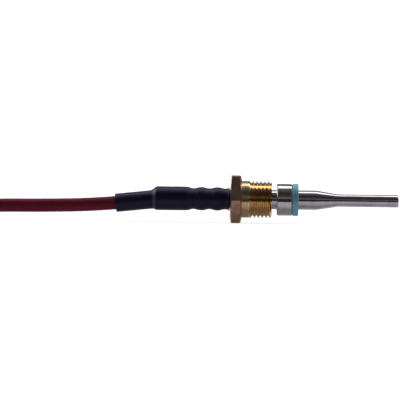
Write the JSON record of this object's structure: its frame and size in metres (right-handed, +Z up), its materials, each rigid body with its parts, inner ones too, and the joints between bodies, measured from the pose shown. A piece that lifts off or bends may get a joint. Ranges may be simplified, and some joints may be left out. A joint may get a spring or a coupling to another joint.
{
  "type": "resistance thermometer",
  "caption": "Direct-immersion resistance thermometer: stepped steel probe with collar, gasket, loose hexagon clamping screw, shrink sleeve and a fixed cable tied in a hank.",
  "frame": {"origin": "on the probe's axis, at the front face of the sealing gasket, where the fitting's seat meets it", "axes": "+X along the probe towards its closed tip, +Z up from the surface that it lies on, +Y across"},
  "size_m": [0.1764, 0.0322, 0.0178],
  "materials": {
    "steel": "satin",
    "brass": "satin",
    "gasket": "matte",
    "sleeve": "semi-gloss",
    "jacket": "satin",
    "tie": "matte",
    "white_core": "satin",
    "red_core": "satin",
    "tinned": "satin",
    "ferrule_plastic": "satin",
    "lead": "polished",
    "chip": "matte",
    "bead": "gloss",
    "polyimide": "satin",
    "paste": "matte",
    "clear_tube": "satin"
  },
  "bodies": {
    "probe": {"sheath_tube": "steel", "collar": "steel", "sealing_gasket": "gasket", "shrink_sleeve": "sleeve", "cable": "jacket", "cable_coil": "jacket", "cable_tail": "jacket", "sensor_chip": "chip", "lead_bead": "bead", "chip_sleeve": "polyimide", "thermal_paste": "paste", "cable_tie_a": "tie", "end_core_a": "white_core", "end_strands_a": "tinned", "end_ferrule_a": "tinned", "ferrule_collar_a": "ferrule_plastic", "chip_lead_a": "lead", "lead_splice_a": "tinned", "splice_cover_a": "clear_tube", "inner_core_a": "white_core", "inner_strands_a": "tinned", "cable_tie_b": "tie", "end_core_b": "red_core", "end_strands_b": "tinned", "end_ferrule_b": "tinned", "ferrule_collar_b": "ferrule_plastic", "chip_lead_b": "lead", "lead_splice_b": "tinned", "splice_cover_b": "clear_tube", "inner_core_b": "red_core", "inner_strands_b": "tinned"},
    "screw": {"clamping_screw": "brass"}
  },
  "joints": [
    {"name": "screw_spin", "type": "hinge", "parent": "probe", "child": "screw", "pos_m": [-0.012, 0, 0], "axis": [1, 0, 0], "continuous": true}
  ]
}
